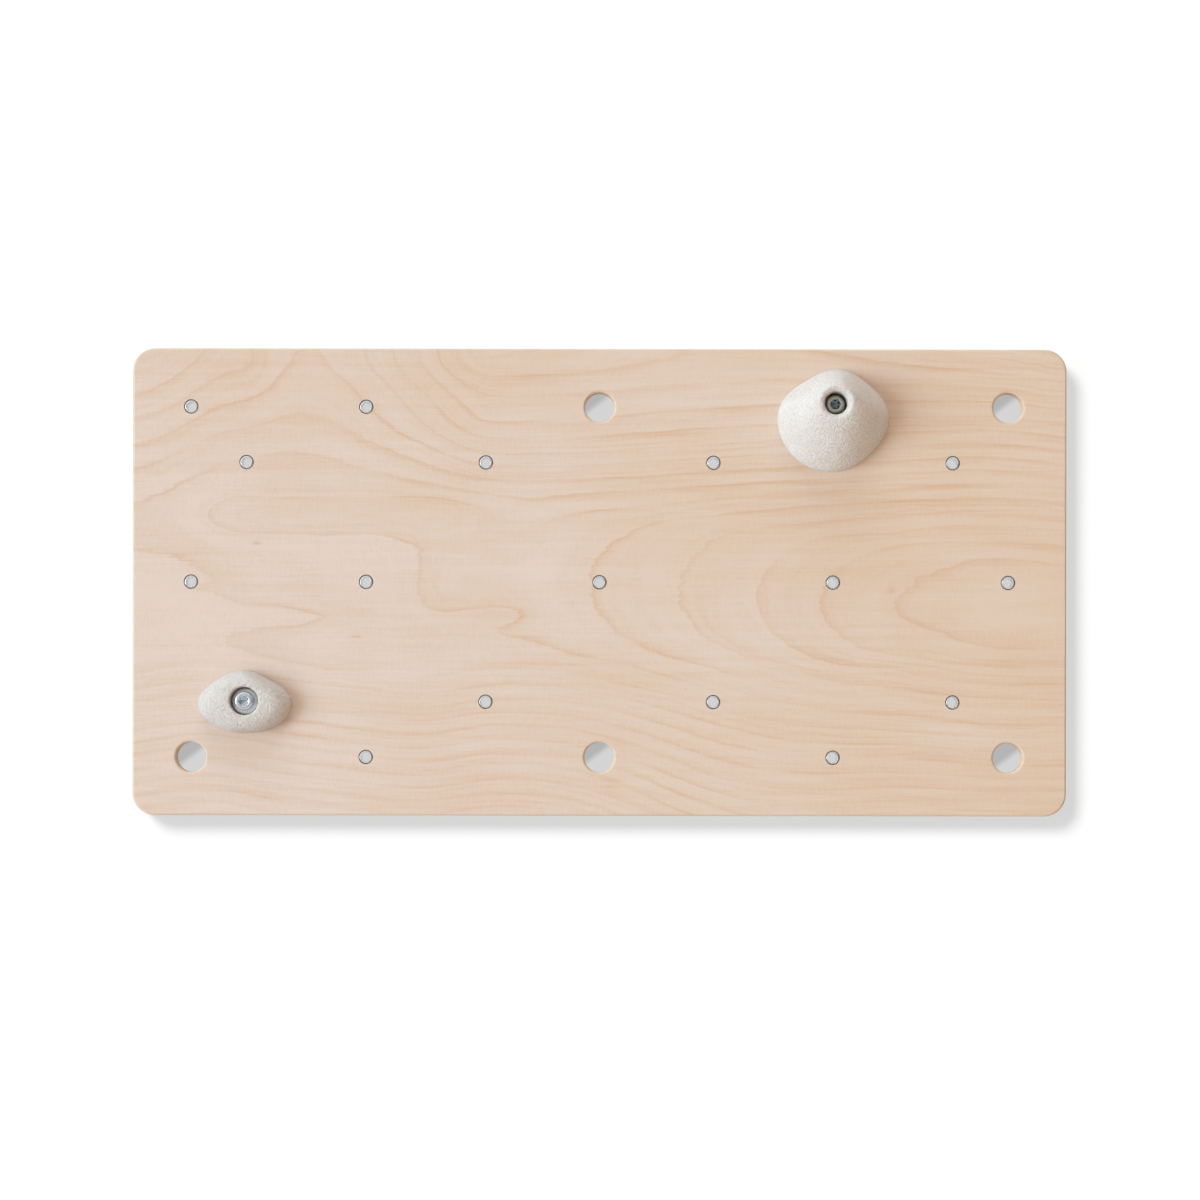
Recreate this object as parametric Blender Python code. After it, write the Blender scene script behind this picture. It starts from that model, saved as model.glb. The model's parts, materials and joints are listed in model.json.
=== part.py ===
"""Climbing wall panel: a birch plywood board with M10 T-nuts, five finger holes and two bolted resin holds.

The origin is at the centre of the board's back face. +X is to the right and +Z is up as seen from the
front, and the board's front faces -Y. Every size here is in metres.
"""

import math
from collections import namedtuple

import bmesh
import bpy
from mathutils import Matrix, Vector

MM = 0.001
GAP = 0.3 * MM
PAST = 2 * MM

# Board
BOARD_WIDTH = 800 * MM
BOARD_HEIGHT = 400 * MM
BOARD_THICKNESS = 18 * MM
BOARD_CORNER_RADIUS = 19 * MM
BOARD_CORNER_STEPS = 8
BOARD_EDGE_ROUND = 2 * MM
BOARD_EDGE_STEPS = 3
FRONT_Y = -BOARD_THICKNESS

# Layout of the holes: five columns by three rows, and a square of four round each inner column's middle
OUTER_COLUMN = 350 * MM
INNER_COLUMN = 200 * MM
ROW = 150 * MM
DIAGONAL = 102.5 * MM
COLUMNS = (-OUTER_COLUMN, -INNER_COLUMN, 0.0, INNER_COLUMN, OUTER_COLUMN)
ROWS = (ROW, 0.0, -ROW)
FINGER_HOLES = ((0.0, ROW), (OUTER_COLUMN, ROW), (-OUTER_COLUMN, -ROW), (0.0, -ROW), (OUTER_COLUMN, -ROW))
LARGE_HOLD_AT = (INNER_COLUMN, ROW)
SMALL_HOLD_AT = (-INNER_COLUMN - DIAGONAL, -DIAGONAL)

# Finger holes
FINGER_HOLE_RADIUS = 12.75 * MM
FINGER_HOLE_ROUND = 2.2 * MM
FINGER_HOLE_SIDES = 28
FLARE_DEGREES = (68, 45, 22, 0)

# M10 T-nuts: a drawn barrel on a round flange. Four notches are pressed out of its rim, and the metal
# beside each notch is bent forward into a prong.
NUT_BORE_RADIUS = 4.3 * MM
NUT_BARREL_RADIUS = 5.85 * MM
NUT_BARREL_END_Y = -17.8 * MM
NUT_FLANGE_RADIUS = 12.5 * MM
NUT_FLANGE_THICKNESS = 1.5 * MM
NUT_NOTCH_RADIUS = 8.8 * MM
NUT_QUARTERS = 4
NUT_QUARTER_DEGREES = (0, 20, 40, 60, 68)
PRONG_DEGREES = NUT_QUARTER_DEGREES[-2:]
PRONG_LENGTH = 7.5 * MM
PRONG_TIP_RADII = (10.2 * MM, 11.3 * MM)
PRONG_SLOT_MARGIN_DEGREES = 2.3
NUT_HOLE_SIDES = 16

# M10 socket head cap screws
BOLT_HEAD_RADIUS = 8 * MM
BOLT_HEAD_HEIGHT = 10 * MM
BOLT_HEAD_CHAMFER = 0.9 * MM
BOLT_SHANK_RADIUS = 5 * MM
BOLT_CORE_RADIUS = 4.0 * MM
BOLT_TIP_CHAMFER = 0.9 * MM
BOLT_SOCKET_FLATS = 8 * MM
BOLT_SOCKET_DEPTH = 5 * MM
BOLT_SOCKET_SIDES = 6
BOLT_SIDES = 24
BOLT_BORE_RADIUS = 5.8 * MM
WASHER_THICKNESS = 2 * MM
WASHER_BORE_RADIUS = 5.4 * MM
WASHER_SIDES = 28

# Holds: an outline round a centre, as a mean radius with a few waves in it, that rises to a crown ring at
# the bolt. The flank is round where its power is 1, straight where it is 2, and steeper at the foot below 1.
Hold = namedtuple(
    "Hold",
    "name at centre mean_radius waves height flank_power crown_radius crown_tilt "
    "recess_radius seat_height washer_radius bolt_length",
)
Wave = namedtuple("Wave", "count depth phase_degrees")
LARGE_HOLD = Hold(
    name="large_hold",
    at=LARGE_HOLD_AT,
    centre=(0.0, -10.7 * MM),
    mean_radius=44.6 * MM,
    waves=(
        Wave(1, 1.1 * MM, -114),
        Wave(2, 2.2 * MM, 30),
        Wave(4, 1.2 * MM, -13),
        Wave(5, 0.6 * MM, 48),
    ),
    height=44 * MM,
    flank_power=1.5,
    crown_radius=14 * MM,
    crown_tilt=0.16,
    recess_radius=9.7 * MM,
    seat_height=16 * MM,
    washer_radius=9 * MM,
    bolt_length=40 * MM,
)
SMALL_HOLD = Hold(
    name="small_hold",
    at=SMALL_HOLD_AT,
    centre=(-1.4 * MM, -1.3 * MM),
    mean_radius=31.6 * MM,
    waves=(
        Wave(2, 6.3 * MM, -3),
        Wave(3, 1.2 * MM, -77),
        Wave(4, 1.7 * MM, -2),
        Wave(6, 0.4 * MM, 7),
    ),
    height=21 * MM,
    flank_power=0.85,
    crown_radius=14.2 * MM,
    crown_tilt=0.03,
    recess_radius=11.9 * MM,
    seat_height=8 * MM,
    washer_radius=11.2 * MM,
    bolt_length=30 * MM,
)
HOLD_SIDES = 40
HOLD_FLANK_STEPS = 9
HOLD_RIM_STEPS = 3


def clear_scene():
    for obj in list(bpy.data.objects):
        bpy.data.objects.remove(obj)


def material(name, colour, roughness, metallic=0.0):
    made = bpy.data.materials.new(name)
    made.use_nodes = True
    shader = made.node_tree.nodes["Principled BSDF"]
    shader.inputs["Base Color"].default_value = (*colour, 1.0)
    shader.inputs["Roughness"].default_value = roughness
    shader.inputs["Metallic"].default_value = metallic
    return made


def add_object(name, bm, finish=None, at=(0.0, 0.0), smooth_degrees=35):
    """Turns a bmesh into an object whose origin is on the board's back face, at x and z."""
    bmesh.ops.recalc_face_normals(bm, faces=bm.faces)
    mesh = bpy.data.meshes.new(name)
    bm.to_mesh(mesh)
    bm.free()
    mesh.shade_smooth()
    mesh.set_sharp_from_angle(angle=math.radians(smooth_degrees))
    if finish:
        mesh.materials.append(finish)
    obj = bpy.data.objects.new(name, mesh)
    obj.location = (at[0], 0.0, at[1])
    bpy.context.scene.collection.objects.link(obj)
    return obj


def cut(target, cutter):
    cutter.hide_render = True
    cutter.display_type = "WIRE"
    boolean = target.modifiers.new(cutter.name, "BOOLEAN")
    boolean.operation = "DIFFERENCE"
    boolean.solver = "EXACT"
    boolean.object = cutter


def around_y(radius, degrees, y):
    """A point at a radius and an angle about the Y axis, with 0 degrees to the right and 90 up."""
    angle = math.radians(degrees)
    return Vector((radius * math.cos(angle), y, radius * math.sin(angle)))


def even_degrees(sides):
    return [360 * side / sides for side in range(sides)]


def circles(profile, degrees):
    """One circle of points about the Y axis for each radius and y of a profile."""
    return [[around_y(radius, angle, y) for angle in degrees] for radius, y in profile]


def add_rings(bm, rings):
    return [[bm.verts.new(point) for point in points] for points in rings]


def bridge(bm, first, second):
    """Joins two rings of the same count with quads."""
    sides = zip(first, first[1:] + first[:1], second, second[1:] + second[:1])
    for start, after, far_start, far_after in sides:
        bm.faces.new((start, after, far_after, far_start))


def loft(bm, rings):
    """Joins each ring to the next, and closes both ends with flat caps."""
    for first, second in zip(rings, rings[1:]):
        bridge(bm, first, second)
    bm.faces.new(rings[0])
    bm.faces.new(rings[-1])


def loft_round(bm, rings):
    """Joins each ring to the next and the last to the first, which leaves a hole through the middle."""
    for first, second in zip(rings, rings[1:] + rings[:1]):
        bridge(bm, first, second)


def nut_places():
    """Where the T-nuts are: the grid's points without a finger hole, and four round each inner column."""
    grid = [(x, z) for z in ROWS for x in COLUMNS if (x, z) not in FINGER_HOLES]
    squares = [
        (column + across, up)
        for up in (DIAGONAL, -DIAGONAL)
        for column in (-INNER_COLUMN, INNER_COLUMN)
        for across in (-DIAGONAL, DIAGONAL)
    ]
    return sorted(grid + squares, key=lambda place: (-place[1], place[0]))


def depth_of(edge):
    """How far an edge runs from front to back."""
    return abs(edge.verts[0].co.y - edge.verts[1].co.y)


def round_edges(bm, edges, radius, steps):
    bmesh.ops.bevel(
        bm,
        geom=edges,
        offset=radius,
        offset_type="OFFSET",
        segments=steps,
        profile=0.5,
        affect="EDGES",
    )


def board_blank():
    """The board before drilling: a slab with round corners, and both faces' edges rounded over."""
    bm = bmesh.new()
    size = Matrix.Diagonal((BOARD_WIDTH, BOARD_THICKNESS, BOARD_HEIGHT, 1.0))
    bmesh.ops.create_cube(bm, size=1.0, matrix=Matrix.Translation((0.0, FRONT_Y / 2, 0.0)) @ size)
    corners = [edge for edge in bm.edges if depth_of(edge) > BOARD_THICKNESS / 2]
    round_edges(bm, corners, BOARD_CORNER_RADIUS, BOARD_CORNER_STEPS)
    rims = [edge for edge in bm.edges if depth_of(edge) < BOARD_THICKNESS / 2]
    round_edges(bm, rims, BOARD_EDGE_ROUND, BOARD_EDGE_STEPS)
    return bm


def finger_hole_profile():
    """A through hole whose mouths flare out in an arc, from in front of the board to behind it."""
    flare = []
    for degrees in FLARE_DEGREES:
        angle = math.radians(degrees)
        out = FINGER_HOLE_ROUND * (1 - math.cos(angle))
        deep = FINGER_HOLE_ROUND * (1 - math.sin(angle))
        flare.append((FINGER_HOLE_RADIUS + out, deep))
    (widest, shallowest), (second, deeper) = flare[:2]
    slope = (widest - second) / (deeper - shallowest)
    outside = (widest + slope * (shallowest + PAST), -PAST)
    mouth = [outside, *flare]
    return [(r, FRONT_Y + deep) for r, deep in mouth] + [(r, -deep) for r, deep in reversed(mouth)]


def prong_corners(grow=0.0, grow_degrees=0.0, root_y=GAP):
    """A prong's root and tip, as four corners each. The slot for it is the same shape grown by a margin."""
    start, end = PRONG_DEGREES[0] - grow_degrees, PRONG_DEGREES[1] + grow_degrees
    root = (NUT_NOTCH_RADIUS - grow, NUT_FLANGE_RADIUS + grow, root_y)
    tip = (PRONG_TIP_RADII[0] - grow, PRONG_TIP_RADII[1] + grow, GAP - PRONG_LENGTH - grow)
    corners = []
    for inner, outer, y in (root, tip):
        places = ((inner, start), (outer, start), (outer, end), (inner, end))
        corners.append([around_y(radius, degrees, y) for radius, degrees in places])
    return corners


def drill(bm, x, z, rings):
    """Adds a closed body at x and z to the cutter."""
    away = Vector((x, 0.0, z))
    loft(bm, add_rings(bm, [[point + away for point in points] for points in rings]))


def board_cutter():
    """Everything that is drilled or pressed out of the board, as separate closed bodies in one mesh."""
    bm = bmesh.new()
    finger_hole = circles(finger_hole_profile(), even_degrees(FINGER_HOLE_SIDES))
    for x, z in FINGER_HOLES:
        drill(bm, x, z, finger_hole)
    radius = NUT_BARREL_RADIUS + GAP
    barrel_hole = circles(((radius, FRONT_Y - PAST), (radius, PAST)), even_degrees(NUT_HOLE_SIDES))
    slot = prong_corners(GAP, PRONG_SLOT_MARGIN_DEGREES, PAST)
    for x, z in nut_places():
        drill(bm, x, z, barrel_hole)
        for quarter in range(NUT_QUARTERS):
            turn = quarter_turn(quarter)
            drill(bm, x, z, [[turn @ corner for corner in corners] for corners in slot])
    return bm


def quarter_turn(quarter):
    """Turns a point about the Y axis by so many quarters, the way the degrees of around_y go."""
    return Matrix.Rotation(-2 * math.pi * quarter / NUT_QUARTERS, 3, "Y")


def make_board(finish):
    board = add_object("board", board_blank(), finish)
    cut(board, add_object("board_cutter", board_cutter()))
    triangulate = board.modifiers.new("even_triangles", "TRIANGULATE")
    triangulate.quad_method = "BEAUTY"
    triangulate.ngon_method = "BEAUTY"
    shading = board.modifiers.new("flat_face_shading", "WEIGHTED_NORMAL")
    shading.keep_sharp = True


def nut_mesh():
    """One T-nut: rings of points joined into the barrel and flange, with the rim left open at the notches."""
    bm = bmesh.new()
    starts = even_degrees(NUT_QUARTERS)
    degrees = [start + step for start in starts for step in NUT_QUARTER_DEGREES]
    back = GAP + NUT_FLANGE_THICKNESS
    section = (
        (NUT_NOTCH_RADIUS, back),
        (NUT_BORE_RADIUS, back),
        (NUT_BORE_RADIUS, NUT_BARREL_END_Y),
        (NUT_BARREL_RADIUS, NUT_BARREL_END_Y),
        (NUT_BARREL_RADIUS, GAP),
        (NUT_NOTCH_RADIUS, GAP),
    )
    rim_section = ((NUT_FLANGE_RADIUS, GAP), (NUT_FLANGE_RADIUS, back))
    sleeve = add_rings(bm, circles(section, degrees))
    for first, second in zip(sleeve, sleeve[1:]):
        bridge(bm, first, second)
    rim = (sleeve[-1], *add_rings(bm, circles(rim_section, degrees)), sleeve[0])
    steps = len(NUT_QUARTER_DEGREES)
    for quarter in range(NUT_QUARTERS):
        notch = quarter * steps + steps - 1
        for place in range(quarter * steps, notch):
            faces = [add_side(bm, near, far, place) for near, far in zip(rim, rim[1:])]
        draw_prong(bm, faces[0], quarter)
        add_side(bm, rim[0], rim[-1], notch)
        for end in (notch, (notch + 1) % len(degrees)):
            bm.faces.new([ring[end] for ring in rim])
    return bm


def add_side(bm, near, far, place):
    """One quad between two rings, from a place on them to the next."""
    after = (place + 1) % len(near)
    return bm.faces.new((near[place], near[after], far[after], far[place]))


def draw_prong(bm, face, quarter):
    """Draws a prong forward out of one face of the flange, and narrows it to its tip."""
    tip_face = bmesh.ops.extrude_discrete_faces(bm, faces=[face])["faces"][0]
    tip_corners = [quarter_turn(quarter) @ corner for corner in prong_corners()[1]]
    inner = (tip_corners[0], tip_corners[3])
    outer = (tip_corners[1], tip_corners[2])
    by_radius = sorted(tip_face.verts, key=lambda vert: vert.co.xz.length)
    for verts, places in ((by_radius[:2], inner), (by_radius[2:], outer)):
        for vert in verts:
            vert.co = min(places, key=lambda place: (place.xz - vert.co.xz).length)


def make_nuts(finish):
    for number, place in enumerate(nut_places(), 1):
        add_object(f"t_nut_{number:02d}", nut_mesh(), finish, place)


def outline_radius(hold, degrees):
    radius = hold.mean_radius
    for wave in hold.waves:
        radius += wave.depth * math.cos(math.radians(wave.count * degrees - wave.phase_degrees))
    return radius


def crown_point(hold, radius, degrees, fall, foot_y):
    """A point on the crown, which tilts so that its upper side stands further out."""
    point = around_y(radius, degrees, foot_y - hold.height + fall)
    point.y -= hold.crown_tilt * point.z
    return point


def flank_point(hold, degrees, out, rise, foot_y):
    """A point on the flank, part of the way from the crown's ring out to the foot's outline."""
    crown = crown_point(hold, hold.crown_radius, degrees, 0.0, foot_y)
    foot = around_y(outline_radius(hold, degrees), degrees, foot_y)
    foot += Vector((hold.centre[0], 0.0, hold.centre[1]))
    point = crown.lerp(foot, out)
    point.y = foot_y + (crown.y - foot_y) * rise
    return point


def hold_rings(hold):
    """The hold's rings of points, from its foot up the flank, over the rim, down the recess and the bore."""
    foot_y = FRONT_Y - GAP
    degrees = even_degrees(HOLD_SIDES)
    rings = []
    for step in range(HOLD_FLANK_STEPS + 1):
        turn = math.pi / 2 * step / HOLD_FLANK_STEPS
        out = math.cos(turn) ** hold.flank_power
        rise = math.sin(turn) ** hold.flank_power
        rings.append([flank_point(hold, angle, out, rise, foot_y) for angle in degrees])
    rim = hold.crown_radius - hold.recess_radius
    for step in range(1, HOLD_RIM_STEPS + 1):
        turn = math.pi / 2 * step / HOLD_RIM_STEPS
        radius = hold.crown_radius - rim * math.sin(turn)
        fall = rim * (1 - math.cos(turn))
        rings.append([crown_point(hold, radius, angle, fall, foot_y) for angle in degrees])
    seat_y = FRONT_Y - hold.seat_height
    bore = ((hold.recess_radius, seat_y), (BOLT_BORE_RADIUS, seat_y), (BOLT_BORE_RADIUS, foot_y))
    return rings + circles(bore, degrees)


def make_hold(hold, finish):
    bm = bmesh.new()
    loft_round(bm, add_rings(bm, hold_rings(hold)))
    add_object(hold.name, bm, finish, hold.at, smooth_degrees=50)


def make_washer(hold, finish):
    back = FRONT_Y - hold.seat_height - GAP
    front = back - WASHER_THICKNESS + 2 * GAP
    section = (
        (WASHER_BORE_RADIUS, back),
        (WASHER_BORE_RADIUS, front),
        (hold.washer_radius, front),
        (hold.washer_radius, back),
    )
    bm = bmesh.new()
    loft_round(bm, add_rings(bm, circles(section, even_degrees(WASHER_SIDES))))
    add_object(f"{hold.name}_washer", bm, finish, hold.at)


def make_bolt(hold, finish):
    """A socket head cap screw. Its thread is at core size from the board's front face to the tip."""
    seat = FRONT_Y - hold.seat_height - WASHER_THICKNESS
    head = seat - BOLT_HEAD_HEIGHT
    tip = seat + hold.bolt_length
    profile = (
        (BOLT_HEAD_RADIUS - BOLT_HEAD_CHAMFER, head),
        (BOLT_HEAD_RADIUS, head + BOLT_HEAD_CHAMFER),
        (BOLT_HEAD_RADIUS, seat),
        (BOLT_SHANK_RADIUS, seat),
        (BOLT_SHANK_RADIUS, FRONT_Y),
        (BOLT_CORE_RADIUS, FRONT_Y),
        (BOLT_CORE_RADIUS, tip - BOLT_TIP_CHAMFER),
        (BOLT_CORE_RADIUS - BOLT_TIP_CHAMFER, tip),
    )
    bm = bmesh.new()
    loft(bm, add_rings(bm, circles(profile, even_degrees(BOLT_SIDES))))
    bolt = add_object(f"{hold.name}_bolt", bm, finish, hold.at)
    corner_radius = BOLT_SOCKET_FLATS / math.sqrt(3)
    hexagon = ((corner_radius, head - PAST), (corner_radius, head + BOLT_SOCKET_DEPTH))
    socket = bmesh.new()
    loft(socket, add_rings(socket, circles(hexagon, even_degrees(BOLT_SOCKET_SIDES))))
    cut(bolt, add_object(f"{hold.name}_bolt_socket", socket, at=hold.at))


def main():
    clear_scene()
    birch = material("birch_plywood", (0.76, 0.62, 0.50), 0.55)
    resin = material("resin", (0.78, 0.74, 0.69), 0.85)
    zinc = material("zinc_plate", (0.62, 0.65, 0.68), 0.35, 1.0)
    make_board(birch)
    make_nuts(zinc)
    for hold in (LARGE_HOLD, SMALL_HOLD):
        make_hold(hold, resin)
        make_washer(hold, zinc)
        make_bolt(hold, zinc)


main()
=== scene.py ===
"""Looks of the climbing wall panel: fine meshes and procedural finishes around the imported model.

+X is to the right and +Z is up as seen from the front, and the board's front faces -Y. Every size is in
metres unless its name or comment says millimetres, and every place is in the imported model's own frame.
"""

import json
import math
from bisect import bisect_left
from collections import namedtuple
from itertools import accumulate, pairwise

import bmesh
import bpy
from bpy.props import FloatProperty, FloatVectorProperty, IntProperty, PointerProperty
from mathutils import Matrix, Vector, noise


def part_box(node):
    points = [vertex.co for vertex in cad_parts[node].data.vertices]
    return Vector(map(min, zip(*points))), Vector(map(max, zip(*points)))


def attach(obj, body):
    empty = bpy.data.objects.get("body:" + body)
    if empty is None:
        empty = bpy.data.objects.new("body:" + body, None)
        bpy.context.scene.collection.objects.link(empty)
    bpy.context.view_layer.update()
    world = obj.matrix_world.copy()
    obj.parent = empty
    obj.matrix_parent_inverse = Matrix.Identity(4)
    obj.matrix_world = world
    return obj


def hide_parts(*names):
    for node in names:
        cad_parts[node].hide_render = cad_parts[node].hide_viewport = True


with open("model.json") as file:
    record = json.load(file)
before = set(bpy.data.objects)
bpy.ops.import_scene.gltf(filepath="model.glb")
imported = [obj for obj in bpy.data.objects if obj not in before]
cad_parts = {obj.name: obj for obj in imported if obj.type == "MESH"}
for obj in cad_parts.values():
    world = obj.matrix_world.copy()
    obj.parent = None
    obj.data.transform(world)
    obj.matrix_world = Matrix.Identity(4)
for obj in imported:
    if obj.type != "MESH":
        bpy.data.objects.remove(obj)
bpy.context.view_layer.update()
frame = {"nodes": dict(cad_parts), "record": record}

bl_info = {
    "name": "Climbing Wall Panel",
    "version": (1, 0, 0),
    "blender": (4, 5, 0),
    "location": "View3D > Sidebar > Climbing Panel",
    "description": "Models a birch climbing panel with T-nuts, finger holes and two bolted resin holds",
    "category": "Object",
}

MM = 0.001
GAP = 0.3 * MM
PAST = 2 * MM
TURN = 360

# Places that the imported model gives
BOARD_LOW, BOARD_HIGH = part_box("board")
FRONT_Y = BOARD_LOW.y
BACK_Y = BOARD_HIGH.y
THICKNESS = BACK_Y - FRONT_Y
FOOT_Y = FRONT_Y - GAP
NUT_NODES = sorted(name for name in frame["nodes"] if name.startswith("t_nut_"))
NUT_LOW, NUT_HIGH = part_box(NUT_NODES[0])
FLANGE_RADIUS = (NUT_HIGH.x - NUT_LOW.x) / 2
FINGER_HOLES = [
    (Vector(opening["box_m"][0]) + Vector(opening["box_m"][1])) / 2
    for opening in frame["record"]["physics"]["openings"]
    if opening["name"].startswith("finger_hole")
]

# Prongs: their place in each quarter of the flange, and the slots pressed into the board for them
QUARTERS = 4
PRONG_DEGREES = (60, 68)
QUARTER_DEGREES = (*range(0, 61, 5), 68, 75, 82.5)
FLANGE_DEGREES = [start + step for start in range(0, TURN, TURN // QUARTERS) for step in QUARTER_DEGREES]
NOTCH_RADIUS = 8.8 * MM
PRONG_LENGTH = 7.5 * MM
PRONG_TIP_RADII = (10.2 * MM, 11.3 * MM)
SLOT_MARGIN_DEGREES = 2.3

# The screws' standard sizes
HEAD_HEIGHT = 10 * MM
SOCKET_FLATS = 8 * MM
SOCKET_DEPTH = 5 * MM
SOCKET_SIDES = 6
SHANK_RADIUS = 5 * MM
CORE_RADIUS = 4 * MM
THREAD_PITCH = 1.5 * MM
KNURL_POINTS = 3
WASHER_THICKNESS = 2 * MM

# Holds: an outline round a centre, as a mean radius with a few waves in it, that rises to a crown ring at
# the screw. The flank is round where its power is 1, straight where it is 2, and steeper at the foot below 1.
HoldShape = namedtuple(
    "HoldShape",
    "node centre mean_radius waves height flank_power crown_radius crown_tilt recess_radius seat_height "
    "marks tone",
)
Wave = namedtuple("Wave", "count depth phase_degrees")
Mark = namedtuple("Mark", "x z radius rise")
LARGE_HOLD = HoldShape(
    node="large_hold",
    centre=(0.0, -10.7 * MM),
    mean_radius=44.6 * MM,
    waves=(Wave(1, 1.1 * MM, -114), Wave(2, 2.2 * MM, 30), Wave(4, 1.2 * MM, -13), Wave(5, 0.6 * MM, 48)),
    height=44 * MM,
    flank_power=1.5,
    crown_radius=14 * MM,
    crown_tilt=0.16,
    recess_radius=9.7 * MM,
    seat_height=16 * MM,
    marks=(Mark(22 * MM, -16 * MM, 1.6 * MM, -0.5 * MM), Mark(-8 * MM, -34 * MM, 1.2 * MM, -0.4 * MM)),
    tone=1.0,
)
SMALL_HOLD = HoldShape(
    node="small_hold",
    centre=(-1.4 * MM, -1.3 * MM),
    mean_radius=31.6 * MM,
    waves=(Wave(2, 6.3 * MM, -3), Wave(3, 1.2 * MM, -77), Wave(4, 1.7 * MM, -2), Wave(6, 0.4 * MM, 7)),
    height=21 * MM,
    flank_power=0.85,
    crown_radius=14.2 * MM,
    crown_tilt=0.03,
    recess_radius=11.9 * MM,
    seat_height=8 * MM,
    marks=(
        Mark(23 * MM, -17 * MM, 1.8 * MM, -0.8 * MM),
        Mark(-16 * MM, -9 * MM, 1.3 * MM, -0.5 * MM),
        Mark(38.5 * MM, 3.5 * MM, 2.2 * MM, 1.0 * MM),
    ),
    # The small hold's lower tone is painted shade: a darker copy of the same resin as the large hold
    tone=0.91,
)
HOLDS = (LARGE_HOLD, SMALL_HOLD)

# Growth rings and blemishes of the face veneer, as soft spots in millimetres from the board's centre. The
# amount is what a spot adds at its middle: to the count of rings, or to the darkness of the wood.
Spot = namedtuple("Spot", "x z width height amount")
SWELLS = (
    Spot(-400, 0, 120, 42, 0.55),
    Spot(-392, -50, 85, 20, 0.45),
    Spot(-298, 180, 24, 26, 0.5),
    Spot(-272, -33, 80, 14, 0.45),
    Spot(-262, 212, 70, 50, -1.3),
    Spot(-225, -47, 60, 9, -0.35),
    Spot(-150, -49, 15, 8, 0.5),
    Spot(-120, 0, 40, 30, -0.35),
    Spot(-95, -27, 40, 10, 0.45),
    Spot(-60, 168, 170, 26, -1.3),
    Spot(-60, 217, 200, 28, -3.2),
    Spot(150, 215, 150, 50, -2.4),
)
BLEMISHES = (
    Spot(-294, 33, 4, 2.5, 0.35),
    Spot(-281, 76, 7, 2.5, 0.2),
    Spot(-208, -47, 5, 1.2, 0.4),
    Spot(-150, -50, 16, 9, 0.12),
    Spot(11, -174, 10, 6, 0.2),
    Spot(250, -6, 4, 5, 0.2),
    Spot(262, 70, 45, 1.5, 0.2),
)
RING_STEP = 11.5
THIN_LINES = 2.4

# How far up and to the left of its hole's middle the painted slanting shadow behind each finger hole has its
# edge
SHADE_SHIFTS = (3 * MM, 3 * MM, 0.0, 3 * MM, 0.0)


def setting(name, description, value):
    return {"name": name, "description": description, "default": value, "min": 0.0}


def length(name, description, millimetres):
    return FloatProperty(**setting(name, description, millimetres * MM), precision=5, unit="LENGTH")


def share(name, description, value):
    return FloatProperty(**setting(name, description, value), max=1.0, subtype="FACTOR")


def colour(name, description, value):
    return FloatVectorProperty(**setting(name, description, value), max=1.0, size=3, subtype="COLOR")


class BoardSettings(bpy.types.PropertyGroup):
    corner_radius: length("Corner radius", "Radius of the board's four corners", 19)
    edge_round: length("Edge round", "Rounding of both faces' edges", 2)
    hole_radius: length("Finger hole radius", "Radius of a finger hole past its mouth", 12.75)
    hole_round: length("Finger hole round", "Rounding of a finger hole's mouths", 2.2)
    ply_count: IntProperty(name="Plies", description="Number of veneers in the board", default=13, min=3)
    pale_wood: colour("Pale wood", "Birch between two growth rings", (0.695, 0.568, 0.495))
    # Warmer, darker wood towards the right is partly the birch's own colour and partly painted shade of light
    # that falls off from the left
    warm_wood: colour("Warm wood", "Birch towards the board's right side", (0.652, 0.49, 0.372))
    ring_wood: colour("Ring wood", "Late wood in a growth ring's line", (0.57, 0.32, 0.15))
    side_wood: colour("Side grain", "Plies that a cut runs along", (0.75, 0.61, 0.45))
    end_wood: colour("End grain", "Plies that a cut runs across", (0.43, 0.28, 0.165))
    glue: colour("Glue line", "Resin between two plies", (0.36, 0.21, 0.12))
    roughness: share("Roughness", "Roughness of the sanded wood", 0.58)


class NutSettings(bpy.types.PropertyGroup):
    bore_radius: length("Bore radius", "Radius inside the thread's crests", 4.3)
    barrel_radius: length("Barrel radius", "Outer radius of the barrel", 5.85)
    front_round: length("Front round", "Rounding of the barrel's front edge", 1.3)
    throat_round: length("Throat round", "Rounding from the flange into the bore", 1.1)
    zinc: colour("Zinc", "Plated steel of the T-nuts and the small hold's screw", (0.67, 0.725, 0.775))
    roughness: share("Roughness", "Roughness of the plated steel", 0.3)
    tarnish: share("Tarnish", "How dull the T-nuts are outside their bores", 0.7)
    # Inside the T-nuts this bright tone is a painted highlight for the light that shows through the bore
    bore: colour("Bore", "Bright steel of the washers and inside the T-nuts", (0.93, 0.93, 0.93))
    # The small screw's socket tone is painted shade inside the socket
    socket: colour("Socket", "Steel inside the small hold's screw's socket", (0.42, 0.47, 0.50))


class HoldSettings(bpy.types.PropertyGroup):
    mesh_step: length("Mesh step", "Spacing of the points on a hold's skin", 0.7)
    grain_size: length("Grain size", "Width of a grain in the sandy skin", 2.1)
    grain_height: length("Grain height", "Height of a grain in the sandy skin", 0.3)
    pale_resin: colour("Pale resin", "Top of the grains", (0.935, 0.875, 0.835))
    # The dark end is painted shade in the pits and pin holes, and also the tone of random darker blotches
    pit_shade_and_blotch_resin: colour("Dark resin", "Bottom of the pits between grains", (0.70, 0.62, 0.565))
    roughness: share("Roughness", "Roughness of the cast resin", 0.88)


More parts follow.
